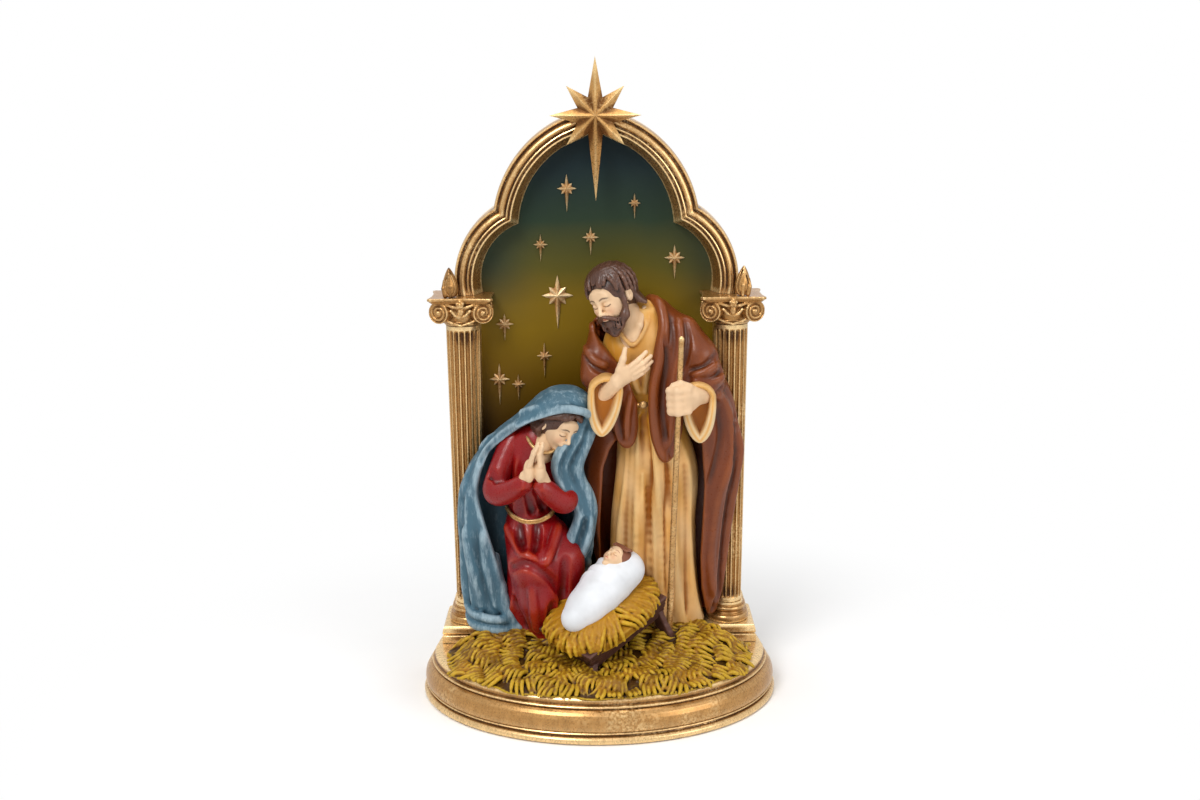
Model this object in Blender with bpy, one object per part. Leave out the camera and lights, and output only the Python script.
"""Holy family group in an arched niche, a painted cast-resin statue.

Metres, +Z up, viewer on the -Y side. The origin is under the centre of the whole piece, on the surface
that it stands on. Shapes are laid out from the widest line of the base, which an empty carries.
"""

import math

import bmesh
import bpy
from mathutils import Euler, Matrix, Vector

# Gap that neighbouring pieces keep
CLEARANCE = 0.0003

# Base: half an oval in front of the widest line, straight sides behind it
BASE_WIDTH = 0.210
BASE_FRONT = 0.0845
BASE_BACK = 0.0400
BASE_TOP = 0.0250
BASE_SIDE_DRAW_IN = 0.0040
BASE_CORNER = 0.0080
FELT_INSET = 0.0060
FELT_THICKNESS = 0.0015
FELT_PROUD = 0.0003

# Step that carries the niche
STEP_WIDTH = 0.1886
STEP_HEIGHT = 0.0102
STEP_FRONT = 0.0020
STEP_LEAN = 0.0018
STEP_BACK = 0.0380

# Columns
COLUMN_SPACING = 0.1560
COLUMN_AXIS_Y = 0.0170
COLUMN_BASE_RADIUS = 0.0127
COLUMN_BASE_HEIGHT = 0.0115
SHAFT_FOOT_RADIUS = 0.0082
SHAFT_HEAD_RADIUS = 0.0098
SHAFT_HEIGHT = 0.1695
FLUTE_COUNT = 12
FLUTE_DEPTH = 0.0006
CAPITAL_HEIGHT = 0.0170
ABACUS_THICKNESS = 0.0030
ABACUS_WIDTH = 0.0385
ABACUS_DEPTH = 0.0360
VOLUTE_RADIUS = 0.0063
VOLUTE_SPREAD = 0.0120
VOLUTE_THICKNESS = 0.0052
ABACUS_HOLLOW = 0.0022
ABACUS_BLUNT = 0.0026

# Niche: back panel and arch
NICHE_BACK = 0.0365
PANEL_FRONT = 0.0280
ARCH_FRONT = 0.0120
ARCH_WIDTH = 0.0150
ARCH_RELIEF = 0.0120
LOBE_RADIUS = 0.0345
LOBE_CENTRE_X = 0.0329
LOBE_CENTRE_RISE = 0.0076
CROWN_RADIUS = 0.0540
CROWN_CENTRE_X = -0.0090
CROWN_CENTRE_RISE = 0.0370
APEX_RISE = 0.0925
APEX_RUN = 0.0180
LEAF_HEIGHT = 0.0172
LEAF_WIDTH = 0.0088
LEAF_DEPTH = 0.0080

# Stars
CROWN_STAR_RISE = 0.1015
CROWN_STAR_UP = 0.0325
CROWN_STAR_DOWN = 0.0478
CROWN_STAR_SIDE = 0.0259
CROWN_STAR_DIAGONAL = 0.0230
CROWN_STAR_NOTCH = 0.0088
CROWN_STAR_THICKNESS = 0.0070
PANEL_STAR_THICKNESS = 0.0016

# Straw on the base, and the level that the two figures stand at above the step
STRAW_WIDTH = 0.1780
STRAW_FRONT = 0.0790
STRAW_BACK = 0.0160
STRAW_EDGE = 0.0060
STRAW_COVER = 0.0045
STRAW_CLUMP = 0.0008
FIGURE_SINK = 0.0020

# Standing figure: the upright line that it is laid out from, then sizes of its garments and head
JOSEPH_X = 0.0300
JOSEPH_Y = 0.0080
TUNIC_FOLDS = 7
TUNIC_FOLD_DEPTH = 0.0016
CLOAK_THICKNESS = 0.0065
CLOAK_FOLDS = 6
CLOAK_FOLD_DEPTH = 0.0018
SLEEVE_WIDTH = 0.0170
SLEEVE_DROP = 0.0140
STAFF_RADIUS = 0.00165
JOSEPH_HEAD = (-0.0225, -0.0125, 0.1980)
JOSEPH_HEAD_HALF = (0.0128, 0.0145, 0.0172)
JOSEPH_WAIST = 0.1360

# Kneeling figure: the upright line that it is laid out from, then sizes of its garments and head
MARY_X = -0.0400
MARY_Y = 0.0010
DRESS_FOLDS = 7
DRESS_FOLD_DEPTH = 0.0010
MANTLE_THICKNESS = 0.0050
MANTLE_FOLDS = 6
MANTLE_FOLD_DEPTH = 0.0016
MARY_ARM_RADIUS = 0.0084
MARY_HEAD = (0.0165, -0.0140, 0.1260)
MARY_HEAD_HALF = (0.0100, 0.0115, 0.0140)
MARY_WAIST = 0.0740
BELT_THICKNESS = 0.0012
BELT_HEIGHT = 0.0032

# Manger: place and tilt of the trough's rim, the line it is cut back to among the robes, and its sizes
MANGER_X = 0.0020
MANGER_Y = -0.0245
MANGER_REAR = -0.0030
MANGER_LIFT = 0.0150
MANGER_TURN = 50.0
MANGER_PITCH = 21.0
MANGER_ROLL = 8.0
TROUGH_LENGTH = 0.0580
TROUGH_WIDTH = 0.0400
TROUGH_HEIGHT = 0.0120
TROUGH_WALL = 0.0025
TROUGH_SPLAY = 0.0040
HAY_OVERHANG = 0.0085
HAY_THICKNESS = 0.0130
LEG_WIDTH = 0.0060
LEG_THICKNESS = 0.0040
LEG_SPLAY = 0.0050

# Child: lies along the trough, its axis this high above the rim at the two ends
CHILD_RADIUS = 0.0135
CHILD_LENGTH = 0.0520
CHILD_FOOT_RISE = 0.0130
CHILD_HEAD_RISE = 0.0210
CHILD_HEAD_HALF = (0.0072, 0.0078, 0.0088)

# Levels and places that follow from the sizes above
WIDE_LINE_Y = (BASE_FRONT - BASE_BACK) / 2
STEP_FLOOR = BASE_TOP + CLEARANCE
STEP_TOP = STEP_FLOOR + STEP_HEIGHT
COLUMN_FOOT = STEP_TOP + CLEARANCE
SHAFT_FOOT = COLUMN_FOOT + COLUMN_BASE_HEIGHT + CLEARANCE
CAPITAL_FOOT = SHAFT_FOOT + SHAFT_HEIGHT + CLEARANCE
ABACUS_TOP = CAPITAL_FOOT + CAPITAL_HEIGHT
ARCH_FOOT = ABACUS_TOP + CLEARANCE
COLUMN_X = COLUMN_SPACING / 2
STRAW_TOP = STEP_TOP + STRAW_COVER
STAND = STRAW_TOP - FIGURE_SINK


def clear_scene():
    for item in list(bpy.data.objects):
        bpy.data.objects.remove(item, do_unlink=True)


def material(name, colour, roughness, metallic=0.0):
    made = bpy.data.materials.new(name)
    made.use_nodes = True
    shader = made.node_tree.nodes["Principled BSDF"]
    shader.inputs["Base Color"].default_value = (*colour, 1.0)
    shader.inputs["Roughness"].default_value = roughness
    shader.inputs["Metallic"].default_value = metallic
    made.diffuse_color = (*colour, 1.0)
    return made


def add_object(name, bm, finish, place=None):
    """Closes a mesh into a named object that rides on the empty at the widest line."""
    bmesh.ops.triangulate(bm, faces=bm.faces)
    bmesh.ops.recalc_face_normals(bm, faces=bm.faces)
    mesh = bpy.data.meshes.new(name)
    bm.to_mesh(mesh)
    bm.free()
    mesh.materials.append(finish)
    mesh.shade_smooth()
    mesh.set_sharp_from_angle(angle=math.radians(40))
    made = bpy.data.objects.new(name, mesh)
    bpy.context.scene.collection.objects.link(made)
    made.parent = bpy.data.objects["widest_line"]
    if place is not None:
        made.matrix_local = place
    return made


def smooth_step(low, high, value):
    share = min(1.0, max(0.0, (value - low) / (high - low)))
    return share * share * (3 - 2 * share)


def between(rows, height):
    """The row of a table at a height, read smoothly between the rows around it."""
    for low, high in zip(rows, rows[1:]):
        if height <= high[0]:
            share = (height - low[0]) / (high[0] - low[0])
            return [a + (b - a) * share for a, b in zip(low, high)]
    return list(rows[-1])


def skin(bm, rings, folded=False):
    """Bridges closed rings of equal count, and caps the two ends. A folded ring goes out and back again."""
    rows = [[bm.verts.new(point) for point in ring] for ring in rings]
    for low, high in zip(rows, rows[1:]):
        for i, corner in enumerate(low):
            after = (i + 1) % len(low)
            bm.faces.new((corner, low[after], high[after], high[i]))
    if folded:
        for row in (rows[0][::-1], rows[-1]):
            for i in range(len(row) // 2 - 1):
                bm.faces.new((row[i], row[i + 1], row[-2 - i], row[-1 - i]))
    else:
        bm.faces.new(reversed(rows[0]))
        bm.faces.new(rows[-1])


def loft(name, rings, finish, place=None, folded=False):
    bm = bmesh.new()
    skin(bm, rings, folded)
    return add_object(name, bm, finish, place)


def ellipsoid(name, centre, half, turn, finish, segments=16, rings=10):
    """A rounded form, with its half sizes along its own axes and its turn in degrees."""
    bm = bmesh.new()
    bmesh.ops.create_uvsphere(bm, u_segments=segments, v_segments=rings, radius=1.0)
    spin = Euler([math.radians(a) for a in turn]).to_matrix().to_4x4()
    bmesh.ops.transform(bm, matrix=spin @ Matrix.Diagonal((*half, 1.0)), verts=bm.verts)
    return add_object(name, bm, finish, Matrix.Translation(centre))


def limb(name, points, finish, sides=12):
    """A tapered tube with rounded ends through (x, y, z, radius) points."""
    path = [Vector(p[:3]) for p in points]
    rings = []
    for i, centre in enumerate(path):
        ahead = path[min(i + 1, len(path) - 1)] - path[max(i - 1, 0)]
        ahead.normalize()
        aside = ahead.cross(Vector((0.0, 0.0, 1.0)))
        if aside.length < 0.1:
            aside = ahead.cross(Vector((0.0, 1.0, 0.0)))
        aside.normalize()
        up = aside.cross(ahead)
        for shift, share in end_rounding(i, len(path)):
            radius = points[i][3] * share
            middle = centre + ahead * (shift * points[i][3])
            rings.append([
                middle + radius * (math.cos(a) * aside + math.sin(a) * up)
                for a in (math.tau * k / sides for k in range(sides))
            ])
    return loft(name, rings, finish)


def end_rounding(i, count):
    """Shift and share of the radius for each ring at a station: three rings round each end off."""
    if i == 0:
        return ((-0.7, 0.45), (-0.45, 0.8), (0.0, 1.0))
    if i == count - 1:
        return ((0.0, 1.0), (0.45, 0.8), (0.7, 0.45))
    return ((0.0, 1.0),)


def hide(helper):
    helper.hide_render = True
    helper.display_type = "WIRE"
    return helper


def grown(source, gap=CLEARANCE):
    """A hidden copy of a piece, unions kept, larger by the gap all round: it cuts the piece's seat."""
    copy = source.copy()
    copy.name = source.name + "_seat"
    for step in list(copy.modifiers):
        if step.operation != "UNION":
            copy.modifiers.remove(step)
    bpy.context.scene.collection.objects.link(copy)
    swell = copy.modifiers.new("gap", "DISPLACE")
    swell.strength = gap
    swell.mid_level = 0.0
    swell.direction = "NORMAL"
    return hide(copy)


def combine(target, helper, operation):
    step = target.modifiers.new(operation.lower(), "BOOLEAN")
    step.operation = operation
    step.solver = "EXACT"
    step.object = helper


def cut(target, *helpers):
    for helper in helpers:
        combine(target, helper, "DIFFERENCE")


def join(target, *helpers):
    for helper in helpers:
        combine(target, hide(helper), "UNION")


# Base and step

def base_ring(inset, level, back_inset=0.0):
    """Plan outline of the base at a distance inside its widest line, and inside its flat back."""
    half = BASE_WIDTH / 2 - inset
    front = BASE_FRONT - inset
    points = []
    for k in range(25):
        angle = -math.pi * k / 24
        points.append((half * math.cos(angle), front * math.sin(angle), level))
    corner_x = half - BASE_SIDE_DRAW_IN
    for side in (-1, 1):
        corner = []
        for k in range(3):
            angle = math.pi / 2 * k / 2
            x = corner_x - BASE_CORNER * (1 - math.cos(angle))
            corner.append((side * x, BASE_BACK - back_inset - BASE_CORNER * (1 - math.sin(angle)), level))
        points += corner if side < 0 else corner[::-1]
    return points


def make_base(gold):
    """Moulded base: (inset, share of the height) down the profile, with a shallow recess below."""
    foot = FELT_PROUD
    height = BASE_TOP - foot
    profile = (
        (0.0006, 0.000), (0.0000, 0.030), (0.0001, 0.110), (0.0009, 0.135), (0.0003, 0.165),
        (0.0013, 0.205), (0.0009, 0.320), (0.0018, 0.540), (0.0036, 0.690),
        (0.0052, 0.755), (0.0054, 0.820), (0.0068, 0.850), (0.0070, 0.960), (0.0088, 1.000),
    )
    recess = foot + FELT_THICKNESS
    rings = [base_ring(FELT_INSET, level, FELT_INSET) for level in (recess, foot)]
    rings += [base_ring(inset, foot + share * height) for inset, share in profile]
    return loft("base", rings, gold)


def make_felt(felt):
    edge = FELT_INSET + CLEARANCE
    rings = [base_ring(edge, level, edge) for level in (0.0, FELT_THICKNESS)]
    return loft("base_felt_pad", rings, felt)


def step_ring(level, lean):
    half = STEP_WIDTH / 2 - lean
    front = STEP_FRONT + lean
    return [(-half, front, level), (half, front, level), (half, STEP_BACK, level), (-half, STEP_BACK, level)]


def make_step(gold):
    """Step with two fascias: a lower band, a groove and an upper band that leans back."""
    bands = ((0.00, 0.00), (0.44, 0.10), (0.50, 0.55), (0.56, 0.15), (0.86, 0.35), (1.00, 1.00))
    rings = [step_ring(STEP_FLOOR + rise * STEP_HEIGHT, lean * STEP_LEAN) for rise, lean in bands]
    return loft("niche_step", rings, gold)


# Columns

def column_ring(side, radius, level, steps=16, depth=0.0, flutes=0):
    """Round front with straight sides that run back to the niche's back."""
    x = side * COLUMN_X
    points = [(x + radius, NICHE_BACK, level)]
    for k in range(steps + 1):
        share = k / steps
        angle = -math.pi * share
        drawn_in = depth * (0.5 - 0.5 * math.cos(math.tau * share * flutes))
        points.append((
            x + (radius - drawn_in) * math.cos(angle),
            COLUMN_AXIS_Y + (radius - drawn_in) * math.sin(angle),
            level,
        ))
    points.append((x - radius, NICHE_BACK, level))
    return points


def make_column_base(side, word, gold):
    """Two rolls with a hollow between, in shares of the foot radius and the height."""
    profile = (
        (0.97, 0.00), (1.00, 0.10), (1.00, 0.28), (0.95, 0.38), (0.83, 0.41),
        (0.78, 0.50), (0.80, 0.58), (0.84, 0.66), (0.84, 0.76), (0.77, 0.80), (0.75, 0.88), (0.72, 1.00),
    )
    rings = [
        column_ring(side, COLUMN_BASE_RADIUS * wide, COLUMN_FOOT + rise * COLUMN_BASE_HEIGHT)
        for wide, rise in profile
    ]
    return loft("column_base_" + word, rings, gold)


def shaft_radius(share):
    return SHAFT_FOOT_RADIUS + (SHAFT_HEAD_RADIUS - SHAFT_FOOT_RADIUS) * share


def make_shaft(side, word, gold):
    steps = FLUTE_COUNT * 3
    rings = []
    for share, depth in ((0.0, 0.0), (0.012, 0.0), (0.025, 1.0), (0.975, 1.0), (0.988, 0.0), (1.0, 0.0)):
        level = SHAFT_FOOT + share * SHAFT_HEIGHT
        rings.append(column_ring(side, shaft_radius(share), level, steps, depth * FLUTE_DEPTH, FLUTE_COUNT))
    return loft("column_shaft_" + word, rings, gold)


def column_envelope(side, word, gold):
    """Hidden plain column, a gap larger than the real one, that drapery is cut back to."""
    rings = []
    for share in (0.0, 1.0):
        level = SHAFT_FOOT + share * SHAFT_HEIGHT
        rings.append(column_ring(side, shaft_radius(share) + CLEARANCE, level))
    foot = [
        column_ring(side, COLUMN_BASE_RADIUS + CLEARANCE, COLUMN_FOOT - STEP_HEIGHT),
        column_ring(side, COLUMN_BASE_RADIUS + CLEARANCE, COLUMN_FOOT + 0.38 * COLUMN_BASE_HEIGHT),
        column_ring(side, COLUMN_BASE_RADIUS * 0.85 + CLEARANCE, COLUMN_FOOT + 0.42 * COLUMN_BASE_HEIGHT),
        column_ring(side, COLUMN_BASE_RADIUS * 0.85 + CLEARANCE, SHAFT_FOOT),
    ]
    return hide(loft("column_envelope_" + word, foot + rings, gold))


def abacus_ring(side, share, level):
    """Square slab with hollowed sides and blunt corners."""
    half_x = ABACUS_WIDTH / 2 * share
    half_y = ABACUS_DEPTH / 2 * share
    corners = []
    for quarter in range(4):
        a = math.pi / 2 * quarter
        run_x, run_y = round(math.cos(a)), round(math.sin(a))
        for t in (-1.0, -0.4, 0.4, 1.0):
            along = t * (1 - ABACUS_BLUNT / half_x)
            inward = 1 - ABACUS_HOLLOW / half_x * (1 - t * t)
            corners.append((
                side * COLUMN_X + half_x * (run_x * inward - run_y * along),
                NICHE_BACK - ABACUS_DEPTH / 2 + half_y * (run_y * inward + run_x * along),
                level,
            ))
    return corners


def volute(side, at_x, at_y, turn, name, gold, rims):
    """Scroll: a short drum, its two faces turned from shares of its radius and of its thickness."""
    half = [(wide * VOLUTE_RADIUS, out * VOLUTE_THICKNESS / 2) for wide, out in rims]
    profile = half + [(wide, -out) for wide, out in half[::-1]]
    level = ABACUS_TOP - ABACUS_THICKNESS - VOLUTE_RADIUS * 0.92
    place = (
        Matrix.Translation((side * COLUMN_X + at_x, at_y, level))
        @ Matrix.Rotation(math.radians(turn), 4, "Z")
    )
    rings = []
    for wide, out in profile:
        rings.append([
            place @ Vector((wide * math.cos(a), -out, wide * math.sin(a)))
            for a in (math.tau * k / 10 for k in range(10))
        ])
    return loft(name, rings, gold)


def make_capital(side, word, gold):
    """Bell under a slab, with scrolls turned out at the corners. The rear inner ones are in the panel."""
    bell_top = ABACUS_TOP - ABACUS_THICKNESS
    rise = bell_top - CAPITAL_FOOT
    bell = [
        column_ring(side, SHAFT_HEAD_RADIUS * wide, CAPITAL_FOOT + share * rise)
        for wide, share in ((1.00, 0.00), (1.08, 0.04), (1.08, 0.12), (1.00, 0.16), (1.02, 0.5), (1.18, 0.98))
    ]
    capital = loft("capital_" + word, bell, gold)
    slab = [
        abacus_ring(side, share, bell_top + level * ABACUS_THICKNESS)
        for share, level in ((0.90, -0.10), (0.93, 0.20), (0.97, 0.45), (1.00, 0.55), (1.00, 1.00))
    ]
    join(capital, loft("slab_" + word, slab, gold))
    front = COLUMN_AXIS_Y - SHAFT_HEAD_RADIUS + 0.0010
    carved = ((0.28, 0.90), (0.34, 0.62), (0.72, 0.62), (0.80, 0.95), (1.0, 1.0))
    plain = ((0.85, 1.0), (1.0, 0.9))
    for tag, way in (("inner", -side), ("outer", side)):
        name = f"volute_{word}_{tag}"
        join(capital, volute(side, way * VOLUTE_SPREAD, front, way * 26, name, gold, carved))
    rear = NICHE_BACK - VOLUTE_THICKNESS
    join(capital, volute(side, side * VOLUTE_SPREAD, rear, -side * 26, f"volute_{word}_rear", gold, plain))
    return capital


# Arch, panel and leaves

def arc_points(centre_x, centre_z, radius, low, high, count):
    return [
        Vector((
            centre_x + radius * math.cos(low + (high - low) * k / count),
            centre_z + radius * math.sin(low + (high - low) * k / count),
        ))
        for k in range(count + 1)
    ]


def circles_meet(ax, az, ar, bx, bz, br):
    """Upper meeting point of two circles."""
    a, b = Vector((ax, az)), Vector((bx, bz))
    gap = b - a
    along = (ar * ar - br * br + gap.length_squared) / (2 * gap.length)
    rise = math.sqrt(ar * ar - along * along)
    unit = gap.normalized()
    first = a + unit * along + Vector((-unit.y, unit.x)) * rise
    second = a + unit * along - Vector((-unit.y, unit.x)) * rise
    return max(first, second, key=lambda p: p.x)


def half_outline(grow):
    """Right half of the trefoil, from foot to apex, at a distance outside the inner edge."""
    lobe = (LOBE_CENTRE_X, ARCH_FOOT + LOBE_CENTRE_RISE, LOBE_RADIUS + grow)
    crown = (CROWN_CENTRE_X, ARCH_FOOT + CROWN_CENTRE_RISE, CROWN_RADIUS + grow)
    cusp = circles_meet(*lobe, *crown)
    start = math.asin(max(-1.0, -LOBE_CENTRE_RISE / lobe[2]))
    end = math.atan2(cusp.y - lobe[1], cusp.x - lobe[0])
    points = arc_points(*lobe, start, end, 10)
    start = math.atan2(cusp.y - crown[1], cusp.x - crown[0])
    reach = APEX_RUN - crown[0]
    end = math.acos(reach / crown[2])
    points += arc_points(*crown, start, end, 10)[1:]
    apex = Vector((0.0, ARCH_FOOT + APEX_RISE + grow * 1.12))
    last = points[-1]
    points += [last.lerp(apex, 0.5) - Vector((0.0, 0.0004)), apex]
    return points


def make_arch(gold):
    """Moulding swept round the trefoil: ridges and grooves between its outer and inner edge."""
    profile = (
        (1.00, 0.90), (0.97, 0.25), (0.88, 0.10), (0.80, 0.18), (0.74, 0.07), (0.60, 0.00),
        (0.48, 0.08), (0.43, 0.18), (0.34, 0.12), (0.24, 0.25), (0.04, 1.00),
    )
    lines = []
    for share, back in profile:
        half = half_outline(share * ARCH_WIDTH)
        lines.append((half, ARCH_FRONT + back * ARCH_RELIEF))
    outer, inner = half_outline(ARCH_WIDTH), half_outline(0.0)
    lines = [(outer, NICHE_BACK)] + lines + [(inner, ARCH_FRONT + 1.2 * ARCH_RELIEF), (inner, NICHE_BACK)]
    count = len(outer)
    rings = []
    for side, order in ((1, range(count)), (-1, range(count - 2, -1, -1))):
        for k in order:
            rings.append([(side * half[k].x, depth, half[k].y) for half, depth in lines])
    return loft("arch_moulding", rings, gold)


def make_panel(paint):
    """Flat back of the niche, a clearance inside the arch and the two columns."""
    half = half_outline(-CLEARANCE)
    base_edge = COLUMN_X - COLUMN_BASE_RADIUS - CLEARANCE
    foot_edge = COLUMN_X - SHAFT_FOOT_RADIUS - CLEARANCE
    head_edge = COLUMN_X - SHAFT_HEAD_RADIUS - CLEARANCE
    right = [
        Vector((base_edge, COLUMN_FOOT)), Vector((base_edge, SHAFT_FOOT)), Vector((foot_edge, SHAFT_FOOT)),
    ]
    right += [Vector((head_edge, CAPITAL_FOOT)), Vector((head_edge, ARCH_FOOT - CLEARANCE))]
    right += [point - Vector((0.0, CLEARANCE)) for point in half[:1]] + half[1:]
    outline = right + [Vector((-p.x, p.y)) for p in reversed(right) if p.x > 0.0]
    rings = [[(p.x, depth, p.y) for p in outline] for depth in (NICHE_BACK, PANEL_FRONT)]
    return loft("niche_back_panel", rings, paint)


def make_leaf(side, word, gold):
    """Pointed leaf that stands on the slab beside the foot of the arch."""
    rows = ((0.0, 0.55), (0.12, 0.85), (0.35, 1.0), (0.6, 0.82), (0.8, 0.5), (0.94, 0.2), (1.0, 0.05))
    foot_x = half_outline(ARCH_WIDTH)[0].x + LEAF_WIDTH * 0.15
    rings = []
    for rise, wide in rows:
        level = ARCH_FOOT + rise * LEAF_HEIGHT
        half = LEAF_WIDTH / 2 * wide
        middle = side * (foot_x + 0.0012 * rise)
        depth = LEAF_DEPTH / 2 * (0.35 + 0.65 * wide)
        rings.append([
            (
                middle + half * math.cos(a),
                ARCH_FRONT - CLEARANCE - LEAF_DEPTH / 2 + depth * math.sin(a),
                level,
            )
            for a in (math.tau * k / 8 for k in range(8))
        ])
    return loft("arch_leaf_" + word, rings, gold)


# Stars

def star(name, place, rays, notch, thick, finish):
    """Eight faceted rays with a ridge down each, flat at the back. Rays run clockwise from the top."""
    bm = bmesh.new()
    rim = []
    for k in range(8):
        angle = math.pi / 2 - math.tau * k / 8
        rim.append((rays[k] * math.cos(angle), rays[k] * math.sin(angle)))
        angle -= math.tau / 16
        rim.append((notch * math.cos(angle), notch * math.sin(angle)))
    edge = thick * 0.25
    back = [bm.verts.new((x, 0.0, z)) for x, z in rim]
    front = [bm.verts.new((x, -edge, z)) for x, z in rim]
    middle_front = bm.verts.new((0.0, -thick, 0.0))
    middle_back = bm.verts.new((0.0, 0.0, 0.0))
    for i in range(16):
        j = (i + 1) % 16
        bm.faces.new((back[i], back[j], front[j], front[i]))
        bm.faces.new((front[i], front[j], middle_front))
        bm.faces.new((back[j], back[i], middle_back))
    return add_object(name, bm, finish, Matrix.Translation(place))


def make_crown_star(gold):
    up, down = CROWN_STAR_UP, CROWN_STAR_DOWN
    across, slant = CROWN_STAR_SIDE, CROWN_STAR_DIAGONAL
    rays = (up, slant, across, slant, down, slant, across, slant)
    place = (0.0, ARCH_FRONT - CLEARANCE, ARCH_FOOT + CROWN_STAR_RISE)
    return star("crown_star", place, rays, CROWN_STAR_NOTCH, CROWN_STAR_THICKNESS, gold)


def make_panel_stars(gold):
    """Small relief stars: place beside and above the slabs, width and whole height of each."""
    stars = (
        (-0.0169, 0.0599, 0.0113, 0.0220), (0.0223, 0.0513, 0.0072, 0.0148),
        (-0.0325, 0.0276, 0.0084, 0.0160),
        (-0.0033, 0.0316, 0.0095, 0.0167), (0.0456, 0.0194, 0.0119, 0.0202),
        (-0.0230, -0.0024, 0.0184, 0.0321),
        (-0.0544, -0.0191, 0.0107, 0.0160), (-0.0312, -0.0383, 0.0090, 0.0214),
        (-0.0581, -0.0523, 0.0119, 0.0250),
        (-0.0469, -0.0553, 0.0078, 0.0155),
    )
    for number, (x, rise, wide, tall) in enumerate(stars, start=1):
        across, up, down, slant = wide / 2, tall * 0.38, tall * 0.62, wide * 0.38
        rays = (up, slant, across, slant, down, slant, across, slant)
        place = (x, PANEL_FRONT - CLEARANCE, ABACUS_TOP + rise)
        star(f"panel_star_{number:02d}", place, rays, wide * 0.16, PANEL_STAR_THICKNESS, gold)


# Straw bed

def straw_level(y):
    """Even top of the straw: low at the front, rising to cover the step."""
    rise = smooth_step(-STRAW_FRONT * 0.60, -STRAW_FRONT * 0.10, y)
    low = BASE_TOP + STRAW_EDGE
    return low + rise * (STRAW_TOP - low)


def straw_height(x, y, share):
    clumps = math.sin(210 * x + 90 * y) * math.cos(160 * y - 70 * x) + 0.5 * math.sin(430 * x - 260 * y)
    rounding = 1 - smooth_step(0.80, 1.0, share)
    foot = BASE_TOP + CLEARANCE
    return foot + (straw_level(y) - foot) * (0.25 + 0.75 * rounding) + STRAW_CLUMP * clumps * rounding


def make_straw(straw, seats):
    around = 40
    centre_y = (STRAW_BACK - STRAW_FRONT) / 3
    rows = []
    for share in (1.0, 0.96, 0.88, 0.72, 0.54, 0.34, 0.12):
        ring = []
        for k in range(around):
            angle = math.tau * k / around
            reach = STRAW_FRONT + centre_y if math.sin(angle) < 0 else STRAW_BACK - centre_y
            ragged = 1 + 0.012 * math.sin(11 * angle) + 0.010 * math.sin(23 * angle + 1.0)
            wide = abs(math.cos(angle)) ** 0.9 * math.copysign(1.0, math.cos(angle))
            x = STRAW_WIDTH / 2 * share * ragged * wide
            y = centre_y + reach * share * ragged * math.sin(angle)
            ring.append((x, y, straw_height(x, y, share)))
        rows.append(ring)
    foot = [(x, y, BASE_TOP + CLEARANCE) for x, y, _ in rows[0]]
    bed = loft("straw_bed", [foot] + rows, straw)
    cut(bed, *seats)
    return bed


# Garments: rings round an upright line, with folds

def fold(angle, folds, phase):
    """Rounded crests and narrow troughs, about one unit high in all."""
    turn = folds * angle + phase
    return math.sin(turn) - 0.25 * math.cos(2 * turn) + 0.35 * math.sin((folds * 0.5 + 1) * angle - phase)


def body_ring(row, level, folds, depth, phase, sides):
    """Oval ring: the row holds the middle and the half sizes, folds fade where the share is small."""
    _, x, y, half_x, half_y, share = row
    points = []
    for k in range(sides):
        angle = math.tau * k / sides
        out = depth * share * fold(angle, folds, phase)
        points.append((x + (half_x + out) * math.cos(angle), y + (half_y + out) * math.sin(angle), level))
    return points


def cape_ring(row, level, thick, folds, depth, phase, steps=20):
    """Open ring like a C: out along the outer face from the start angle to the end angle, back inside."""
    _, x, y, half_x, half_y, start, end, share = row
    outer, inner = [], []
    for k in range(steps + 1):
        angle = math.radians(start + (end - start) * k / steps)
        ends = min(1.0, 5.0 * k / steps, 5.0 * (steps - k) / steps)
        out = depth * share * fold(angle, folds, phase)
        inside = out - thick * (0.5 + 0.5 * ends)
        outer.append((x + (half_x + out) * math.cos(angle), y + (half_y + out) * math.sin(angle), level))
        inner.append((
            x + (half_x + inside) * math.cos(angle), y + (half_y + inside) * math.sin(angle), level,
        ))
    return outer + inner[::-1]


def garment(name, rows, place, ring, finish, folded=False):
    """Lofts a table of rows, each starting with its height, on its figure's standing point."""
    return loft(name, [ring(row, row[0]) for row in rows], finish, Matrix.Translation(place), folded)


def make_belt(name, rows, height, ring, place, gold):
    """Narrow band round the waist that stands just proud of the garment."""
    rings = []
    for rise, out in ((-0.5, 0.2), (-0.25, 1.0), (0.25, 1.0), (0.5, 0.2)):
        level = height + rise * BELT_HEIGHT
        row = between(rows, level)
        row[3] += BELT_THICKNESS * out
        row[4] += BELT_THICKNESS * out
        rings.append(ring(row, level))
    return loft(name, rings, gold, Matrix.Translation(place))


def body_limb(name, stand, points, finish, sides=12):
    """A limb whose points are laid out from its figure's standing point."""
    return limb(name, [(*(stand + Vector(p[:3])), p[3]) for p in points], finish, sides)


# Standing figure

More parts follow.
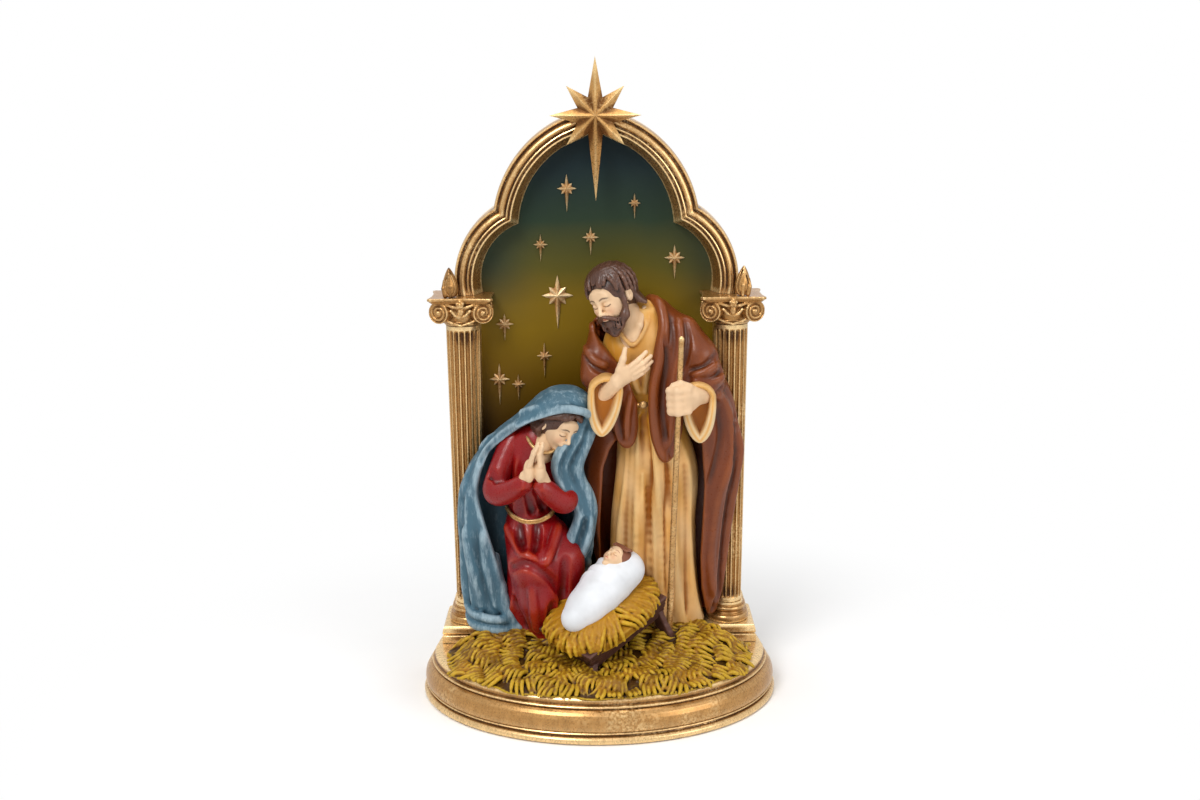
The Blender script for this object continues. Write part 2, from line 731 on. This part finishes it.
def make_joseph(paints):
    """Tunic, cloak, sleeves, hands, staff, belt, head, hair and beard, heights above the straw."""
    stand = Vector((JOSEPH_X, JOSEPH_Y, STAND))
    tunic_rows = (
        (0.000, 0.0040, 0.0000, 0.0300, 0.0160, 1.0), (0.020, 0.0040, 0.0000, 0.0275, 0.0155, 1.0),
        (0.060, 0.0025, 0.0000, 0.0245, 0.0150, 1.0), (0.100, 0.0000, 0.0000, 0.0215, 0.0140, 0.9),
        (JOSEPH_WAIST, -0.0035, -0.0010, 0.0175, 0.0125, 0.6), (0.152, -0.0040, -0.0015, 0.0200, 0.0135, 0.4),
        (0.170, -0.0045, -0.0020, 0.0225, 0.0130, 0.3), (0.181, -0.0065, -0.0030, 0.0175, 0.0110, 0.1),
        (0.187, -0.0090, -0.0040, 0.0120, 0.0095, 0.0),
    )

    def tunic_ring(row, height):
        return body_ring(row, height, TUNIC_FOLDS, TUNIC_FOLD_DEPTH, 0.6 + 4.0 * height, 24)

    tunic = garment("joseph_tunic", tunic_rows, stand, tunic_ring, paints["tunic"])
    cloak = make_joseph_cloak(stand, paints["cloak"])
    sleeves, hands = make_joseph_arms(stand, paints)
    staff = make_staff(stand, paints["gold"])
    head, hair, beard = make_joseph_head(stand, paints)
    belt = make_belt("joseph_belt", tunic_rows, JOSEPH_WAIST, tunic_ring, stand, paints["gold"])
    seat, cloak_seat = grown(tunic), grown(cloak)
    cut(cloak, seat, grown(belt))
    cut(head, seat, cloak_seat)
    cut(hair, grown(head), cloak_seat, seat)
    cut(beard, grown(head), seat)
    cut(belt, seat)
    for sleeve in sleeves:
        cut(sleeve, seat, cloak_seat)
    for hand, sleeve in zip(hands, sleeves):
        cut(hand, grown(sleeve), seat, cloak_seat)
    bore = grown(staff)
    cut(hands[1], bore)
    cut(sleeves[1], bore)
    return tunic, cloak, staff


def make_joseph_cloak(stand, brown):
    """Cloak open at the front. A row ends with the angles of its two front edges and its share of folds."""
    rows = (
        (0.006, 0.0060, 0.0010, 0.0350, 0.0165, -35, 205, 1.0),
        (0.031, 0.0070, 0.0010, 0.0370, 0.0170, -38, 208, 1.0),
        (0.062, 0.0060, 0.0010, 0.0420, 0.0175, -42, 210, 1.0),
        (0.087, 0.0060, 0.0005, 0.0455, 0.0180, -50, 212, 1.0),
        (0.100, 0.0070, 0.0000, 0.0460, 0.0180, -66, 216, 0.9),
        (0.108, 0.0080, 0.0000, 0.0460, 0.0185, -86, 232, 0.8),
        (0.118, 0.0075, -0.0005, 0.0450, 0.0185, -95, 243, 0.7),
        (0.135, 0.0060, -0.0010, 0.0430, 0.0185, -97, 246, 0.6),
        (0.159, 0.0025, -0.0010, 0.0385, 0.0185, -93, 240, 0.5),
        (0.174, 0.0000, -0.0005, 0.0320, 0.0175, -88, 222, 0.4),
        (0.184, -0.0040, 0.0000, 0.0220, 0.0145, -72, 215, 0.3),
        (0.192, -0.0070, 0.0025, 0.0145, 0.0110, -40, 205, 0.1),
    )

    def cloak_ring(row, height):
        return cape_ring(row, height, CLOAK_THICKNESS, CLOAK_FOLDS, CLOAK_FOLD_DEPTH, 1.0 + 7.0 * height)

    return garment("joseph_cloak", rows, stand, cloak_ring, brown, folded=True)


def make_joseph_arms(stand, paints):
    """Bell sleeves and hands: the right hand lies on the chest, the left one holds the staff."""
    sleeves = (
        bell_sleeve(
            "joseph_right_sleeve", stand,
            (-0.0300, -0.0160, 0.1420), (-0.0240, -0.0265, 0.1420), paints["tunic"],
        ),
        bell_sleeve(
            "joseph_left_sleeve", stand,
            (0.0290, -0.0160, 0.1410), (0.0260, -0.0270, 0.1400), paints["tunic"],
        ),
    )
    hands = (
        body_limb("joseph_right_hand", stand, (
            (-0.0240, -0.0265, 0.1450, 0.0040), (-0.0170, -0.0280, 0.1520, 0.0050),
            (-0.0100, -0.0260, 0.1590, 0.0058), (-0.0020, -0.0225, 0.1640, 0.0042),
        ), paints["skin"], 10),
        body_limb("joseph_left_hand", stand, (
            (0.0260, -0.0280, 0.1420, 0.0046), (0.0210, -0.0295, 0.1425, 0.0060),
            (0.0160, -0.0302, 0.1430, 0.0066), (0.0125, -0.0295, 0.1430, 0.0052),
        ), paints["skin"], 10),
    )
    return sleeves, hands


def bell_sleeve(name, stand, back, mouth, finish):
    """Bell sleeve that hangs from the forearm: round above, drawn down to a soft point below."""
    back, mouth = stand + Vector(back), stand + Vector(mouth)
    rings = []
    for share, wide, drop in (
        (0.0, 0.60, 0.35), (0.3, 0.82, 0.65), (0.65, 0.95, 0.88), (0.93, 1.0, 1.0), (1.0, 0.9, 0.92),
    ):
        middle = back.lerp(mouth, share)
        ring = []
        for k in range(14):
            angle = math.tau * k / 14
            low = max(0.0, -math.sin(angle))
            across = SLEEVE_WIDTH / 2 * wide * math.cos(angle) * (1 - 0.25 * low)
            rise = SLEEVE_WIDTH / 2 * wide * math.sin(angle) - SLEEVE_DROP * drop * low ** 1.5
            ring.append(middle + Vector((across, 0.0, rise)))
        rings.append(ring)
    return loft(name, rings, finish)


def make_staff(stand, gold):
    """Straight staff that leans from above the left hand down into the straw."""
    top = stand + Vector((0.0170, -0.0305, 0.1780))
    foot = stand + Vector((0.0110, -0.0245, 0.0))
    points = [(*foot.lerp(top, k / 3), STAFF_RADIUS) for k in range(4)]
    return limb("joseph_staff", points, gold, 8)


def make_joseph_head(stand, paints):
    """Head bowed to the viewer's left with its neck, hair open at the face, and a short beard."""
    skin_paint, hair_paint = paints["skin"], paints["hair"]
    centre = stand + Vector(JOSEPH_HEAD)
    wide, deep, tall = JOSEPH_HEAD_HALF
    turn = (18, -14, -30)
    head = ellipsoid("joseph_head", centre, JOSEPH_HEAD_HALF, turn, skin_paint)
    neck_foot = stand + Vector((-0.0095, -0.0040, 0.1730))
    neck = limb("joseph_neck", [
        (*centre.lerp(neck_foot, share), radius)
        for share, radius in ((0.2, 0.0085), (0.6, 0.0082), (1.0, 0.0090))
    ], skin_paint, 10)
    join(head, neck)
    hair_half = (wide * 1.27, deep * 1.14, tall * 1.02)
    hair = ellipsoid("joseph_hair", centre + Vector((0.0020, 0.0030, 0.0035)), hair_half, turn, hair_paint)
    opening = ellipsoid("joseph_face_opening", centre + Vector((-0.0075, -0.0130, -0.0060)),
                        (wide * 1.04, deep * 0.86, tall * 0.96), turn, hair_paint)
    cut(hair, hide(opening))
    beard = ellipsoid("joseph_beard", centre + Vector((-0.0015, -0.0075, -0.0120)),
                      (wide * 0.76, deep * 0.54, tall * 0.60), turn, hair_paint, 14, 8)
    cut(beard, grown(hair))
    return head, hair, beard


# Kneeling figure

def make_mary(paints):
    """Kneeling figure: dress, sleeves, belt, head and hair, folded hands, and a mantle over the head."""
    stand = Vector((MARY_X, MARY_Y, STAND))
    dress_rows = (
        (0.000, 0.0060, -0.0010, 0.0230, 0.0150, 1.0), (0.020, 0.0060, -0.0040, 0.0225, 0.0190, 0.9),
        (0.042, 0.0080, -0.0080, 0.0215, 0.0230, 0.8), (0.056, 0.0060, -0.0100, 0.0190, 0.0230, 0.5),
        (0.066, 0.0020, -0.0070, 0.0155, 0.0185, 0.4), (MARY_WAIST, 0.0000, -0.0030, 0.0128, 0.0150, 0.3),
        (0.092, 0.0010, -0.0020, 0.0150, 0.0150, 0.3), (0.108, 0.0015, -0.0020, 0.0180, 0.0150, 0.2),
        (0.118, 0.0020, -0.0030, 0.0150, 0.0120, 0.1), (0.124, 0.0050, -0.0060, 0.0085, 0.0085, 0.0),
    )

    def dress_ring(row, height):
        return body_ring(row, height, DRESS_FOLDS, DRESS_FOLD_DEPTH, 0.3 + 9.0 * height, 22)

    dress = garment("mary_dress", dress_rows, stand, dress_ring, paints["dress"])
    mantle = make_mary_mantle(stand, paints["mantle"])
    sleeves = make_mary_sleeves(stand, paints["dress"])
    head, hair = make_mary_head(stand, paints)
    hands = make_mary_hands(stand, paints["skin"])
    belt = make_belt("mary_belt", dress_rows, MARY_WAIST, dress_ring, stand, paints["gold"])
    seat = grown(dress)
    arms = [grown(sleeve) for sleeve in sleeves]
    for sleeve in sleeves:
        cut(sleeve, seat)
    cut(mantle, seat, *arms, grown(head), grown(hair), grown(belt))
    cut(head, seat)
    cut(hair, grown(head), seat)
    cut(hands, *arms, seat)
    cut(belt, seat)
    return dress, mantle


def make_mary_sleeves(stand, red):
    """Close sleeves bent at the elbow: shares of the arm's radius at shoulder, elbow and wrist."""
    arms = (
        ("mary_right_sleeve", (
            (-0.0130, -0.0030, 0.1100), (-0.0190, -0.0090, 0.0990), (-0.0185, -0.0170, 0.0910),
            (-0.0100, -0.0250, 0.0930), (0.0000, -0.0300, 0.0980),
        )),
        ("mary_left_sleeve", (
            (0.0150, -0.0030, 0.1070), (0.0205, -0.0100, 0.0950), (0.0205, -0.0180, 0.0865),
            (0.0170, -0.0250, 0.0895), (0.0110, -0.0300, 0.0960),
        )),
    )
    shares = (1.0, 1.0, 0.95, 0.80, 0.65)
    return [
        body_limb(
            name, stand, [(*point, MARY_ARM_RADIUS * share) for point, share in zip(points, shares)], red,
        )
        for name, points in arms
    ]


def make_mary_mantle(stand, blue):
    """Mantle that falls from the veil to the ground, with the veil's crown joined on."""
    rows = (
        (0.001, -0.0050, 0.0020, 0.0320, 0.0150, -20, 262, 1.0),
        (0.018, -0.0040, 0.0015, 0.0345, 0.0165, -24, 256, 1.0),
        (0.034, -0.0030, 0.0010, 0.0375, 0.0180, -28, 240, 1.0),
        (0.052, -0.0010, 0.0010, 0.0390, 0.0195, -34, 228, 1.0),
        (0.074, -0.0020, 0.0000, 0.0370, 0.0205, -34, 222, 1.0),
        (0.090, -0.0025, 0.0000, 0.0345, 0.0205, -34, 216, 0.9),
        (0.107, 0.0015, 0.0000, 0.0305, 0.0200, -34, 209, 0.7),
        (0.121, 0.0100, -0.0010, 0.0260, 0.0195, -34, 209, 0.5),
        (0.130, 0.0160, -0.0020, 0.0210, 0.0185, -36, 214, 0.3),
        (0.139, 0.0205, -0.0020, 0.0160, 0.0160, -46, 222, 0.2),
        (0.1455, 0.0220, -0.0010, 0.0095, 0.0100, -70, 240, 0.0),
    )

    def mantle_ring(row, height):
        return cape_ring(row, height, MANTLE_THICKNESS, MANTLE_FOLDS, MANTLE_FOLD_DEPTH, 2.0 + 12.0 * height)

    mantle = garment("mary_mantle", rows, stand, mantle_ring, blue, folded=True)
    crown = ellipsoid(
        "veil_crown", stand + Vector((0.0220, -0.0010, 0.1420)), (0.0100, 0.0105, 0.0062), (0, 0, 0),
        blue, 14, 8,
    )
    join(mantle, crown)
    return mantle


def make_mary_head(stand, paints):
    """Head bowed to the viewer's right with its neck, and hair that frames the face under the veil."""
    centre = stand + Vector(MARY_HEAD)
    wide, deep, tall = MARY_HEAD_HALF
    turn = (18, 12, 38)
    head = ellipsoid("mary_head", centre, MARY_HEAD_HALF, turn, paints["skin"])
    neck_foot = stand + Vector((0.0070, -0.0080, 0.1060))
    neck = limb("mary_neck", [
        (*centre.lerp(neck_foot, share), 0.0058) for share in (0.25, 0.65, 1.0)
    ], paints["skin"], 10)
    join(head, neck)
    hair = ellipsoid(
        "mary_hair", centre + Vector((-0.0015, 0.0020, 0.0018)),
        (wide * 1.22, deep * 1.17, tall * 1.07), turn, paints["hair"],
    )
    opening = ellipsoid("mary_face_opening", centre + Vector((0.0060, -0.0095, -0.0040)),
                        (wide * 0.95, deep * 0.87, tall * 0.96), turn, paints["hair"])
    cut(hair, hide(opening))
    return head, hair


def make_mary_hands(stand, skin_paint):
    """Two palms laid together, pointing up and forward."""
    rows = (
        (0.0, 0.6, 0.6), (0.12, 0.95, 0.9), (0.4, 1.0, 1.0), (0.7, 0.8, 0.9), (0.92, 0.45, 0.6),
        (1.0, 0.2, 0.3),
    )
    wrist, tip = stand + Vector((0.0055, -0.0310, 0.0950)), stand + Vector((0.0085, -0.0370, 0.1180))
    rings = []
    for share, wide, deep in rows:
        middle = wrist.lerp(tip, share)
        rings.append([
            middle + Vector((0.0058 * wide * math.cos(a), 0.0048 * deep * math.sin(a), 0.0))
            for a in (math.tau * k / 10 for k in range(10))
        ])
    return loft("mary_hands", rings, skin_paint)


# Manger and child

def manger_frame():
    turn = Matrix.Rotation(math.radians(-MANGER_TURN), 4, "Z")
    pitch = Matrix.Rotation(math.radians(MANGER_PITCH), 4, "X")
    roll = Matrix.Rotation(math.radians(MANGER_ROLL), 4, "Y")
    return Matrix.Translation((MANGER_X, MANGER_Y, STRAW_TOP + MANGER_LIFT)) @ turn @ pitch @ roll


def rectangle(half_x, half_y, level):
    return [
        (-half_x, -half_y, level), (half_x, -half_y, level),
        (half_x, half_y, level), (-half_x, half_y, level),
    ]


def plank(name, start, end, flat, finish):
    """Board between two points, its broad side square to the flat direction."""
    along = (end - start).normalized()
    across = along.cross(flat).normalized() * LEG_WIDTH / 2
    through = flat.normalized() * LEG_THICKNESS / 2
    rings = [
        [p + across + through, p - across + through, p - across - through, p + across - through]
        for p in (start, end)
    ]
    return loft(name, rings, finish)


def make_manger(paints, figures):
    """Splayed trough on three board legs, its far corner against the robe, with hay and the child."""
    frame = manger_frame()
    half_x, half_y = TROUGH_WIDTH / 2, TROUGH_LENGTH / 2
    inner_x, inner_y = half_x - TROUGH_WALL, half_y - TROUGH_WALL
    floor = -TROUGH_HEIGHT + TROUGH_WALL
    rings = [
        rectangle(inner_x - TROUGH_SPLAY, inner_y - TROUGH_SPLAY, floor),
        rectangle(inner_x, inner_y, 0.0),
        rectangle(half_x, half_y, 0.0),
        rectangle(half_x - TROUGH_SPLAY, half_y - TROUGH_SPLAY, -TROUGH_HEIGHT),
    ]
    trough = loft("manger_trough", rings, paints["wood"], frame)
    hay = loft("manger_hay", hay_rings(half_x + HAY_OVERHANG, half_y + HAY_OVERHANG), paints["straw"], frame)
    legs = [make_manger_leg(frame, end, side, paints["wood"]) for end, side in ((-1, -1), (-1, 1), (1, 1))]
    wrap, head, hair = make_child(frame, paints)
    robes = [grown(figure) for figure in figures] + [make_rear_limit(paints["wood"])]
    cut(trough, *robes)
    cut(hay, *robes, grown(trough), grown(wrap), grown(head), grown(hair))
    for leg in legs:
        cut(leg, grown(trough), grown(hay), *robes)
    cut(wrap, grown(head), grown(hair))
    cut(hair, grown(head))
    return trough, legs


def make_rear_limit(wood):
    """Hidden block behind the line that the manger reaches back to between the two figures."""
    reach = TROUGH_LENGTH
    rings = [
        [
            (x, MANGER_REAR + y, level)
            for x, y in ((-reach, 0.0), (reach, 0.0), (reach, reach), (-reach, reach))
        ]
        for level in (BASE_TOP, STAND + reach)
    ]
    return hide(loft("manger_rear_limit", rings, wood))


def hay_rings(half_x, half_y):
    """Thick mat with a soft rim that hangs over the trough, rising to a low crown."""
    rows = ((-0.55, 0.70), (-0.30, 0.92), (0.05, 1.0), (0.40, 0.98), (0.70, 0.86), (0.90, 0.62), (1.0, 0.28))
    rings = []
    for rise, wide in rows:
        ring = []
        for k in range(26):
            angle = math.tau * k / 26
            ragged = 1 + 0.025 * math.sin(7 * angle + 4 * rise)
            x = half_x * wide * ragged * math.copysign(abs(math.cos(angle)) ** 0.8, math.cos(angle))
            y = half_y * wide * ragged * math.copysign(abs(math.sin(angle)) ** 0.8, math.sin(angle))
            ring.append((x, y, HAY_THICKNESS * rise))
        rings.append(ring)
    return rings


def make_child(frame, paints):
    """Child wrapped to the chin, head on the raised end, placed in the trough's own frame."""
    half_y = TROUGH_LENGTH / 2
    foot = Vector((CHILD_RADIUS * 0.3, -half_y + 0.0040, CHILD_FOOT_RISE))
    crown = Vector((CHILD_RADIUS * 0.1, half_y - 0.0030, CHILD_HEAD_RISE))
    axis = (crown - foot).normalized()
    points = []
    for share, wide in ((0.0, 0.62), (0.20, 0.84), (0.45, 0.98), (0.68, 1.0), (0.86, 0.86), (1.0, 0.70)):
        points.append((*(frame @ (foot + axis * (CHILD_LENGTH * share))), CHILD_RADIUS * wide))
    wrap = limb("child_swaddle", points, paints["linen"], 14)
    face = frame @ (crown + Vector((0.0, -CHILD_HEAD_HALF[2], CHILD_HEAD_HALF[1] * 0.8)))
    turn = (0, 20, -30)
    head = ellipsoid("child_head", face, CHILD_HEAD_HALF, turn, paints["skin"], 14, 8)
    wide, deep, tall = CHILD_HEAD_HALF
    hair = ellipsoid("child_hair", face + Vector((wide * 0.45, deep * 0.3, tall * 0.25)),
                     (wide * 1.04, deep, tall * 0.96), turn, paints["hair"], 14, 8)
    return wrap, head, hair


def make_manger_leg(frame, end, side, wood):
    """Board from a lower corner of the trough, splayed out, its foot sunk a little in the straw."""
    name = f"manger_leg_{'head' if end > 0 else 'foot'}_{'right' if side > 0 else 'left'}"
    along = end * (TROUGH_LENGTH / 2 - TROUGH_SPLAY - LEG_THICKNESS / 2)
    reach = side * (TROUGH_WIDTH / 2 - TROUGH_SPLAY - LEG_WIDTH / 2)
    flat = frame.to_3x3() @ Vector((0.0, 1.0, 0.0))
    flat.z = 0.0
    top = frame @ Vector((reach, along, -TROUGH_HEIGHT + CLEARANCE))
    foot = frame @ Vector((reach + side * LEG_SPLAY, along + end * LEG_SPLAY, -TROUGH_HEIGHT))
    foot.z = straw_level(foot.y) - FIGURE_SINK
    return plank(name, top, foot, flat, wood)


def main():
    clear_scene()
    origin = bpy.data.objects.new("widest_line", None)
    origin.location = (0.0, WIDE_LINE_Y, 0.0)
    bpy.context.scene.collection.objects.link(origin)
    gold = material("antique_gold", (0.45, 0.25, 0.07), 0.38, 0.85)
    paints = {
        "gold": gold,
        "tunic": material("ochre_paint", (0.58, 0.30, 0.06), 0.55),
        "cloak": material("brown_paint", (0.20, 0.055, 0.022), 0.5),
        "dress": material("crimson_paint", (0.33, 0.015, 0.015), 0.45),
        "mantle": material("blue_paint", (0.10, 0.22, 0.30), 0.55),
        "skin": material("skin_paint", (0.72, 0.50, 0.35), 0.5),
        "hair": material("brown_hair_paint", (0.09, 0.045, 0.03), 0.5),
        "wood": material("dark_wood_paint", (0.07, 0.03, 0.022), 0.6),
        "straw": material("straw_paint", (0.38, 0.23, 0.03), 0.6),
        "linen": material("white_paint", (0.75, 0.77, 0.79), 0.5),
    }
    make_base(gold)
    make_felt(material("green_felt", (0.02, 0.06, 0.03), 0.95))
    step = make_step(gold)
    envelopes, capitals = [], []
    for side, word in ((-1, "left"), (1, "right")):
        make_column_base(side, word, gold)
        make_shaft(side, word, gold)
        capitals.append(make_capital(side, word, gold))
        make_leaf(side, word, gold)
        envelopes.append(column_envelope(side, word, gold))
    make_arch(gold)
    panel = make_panel(material("night_sky_paint", (0.03, 0.05, 0.04), 0.45))
    for capital in capitals:
        cut(capital, grown(panel))
    make_crown_star(gold)
    make_panel_stars(gold)
    tunic, cloak, staff = make_joseph(paints)
    dress, mantle = make_mary(paints)
    cut(cloak, envelopes[1], grown(mantle))
    cut(mantle, envelopes[0])
    cut(tunic, grown(mantle))
    trough, legs = make_manger(paints, (tunic, cloak, dress, mantle))
    pieces = (step, tunic, cloak, staff, dress, mantle, trough, *legs)
    make_straw(paints["straw"], envelopes + [grown(piece) for piece in pieces])


main()
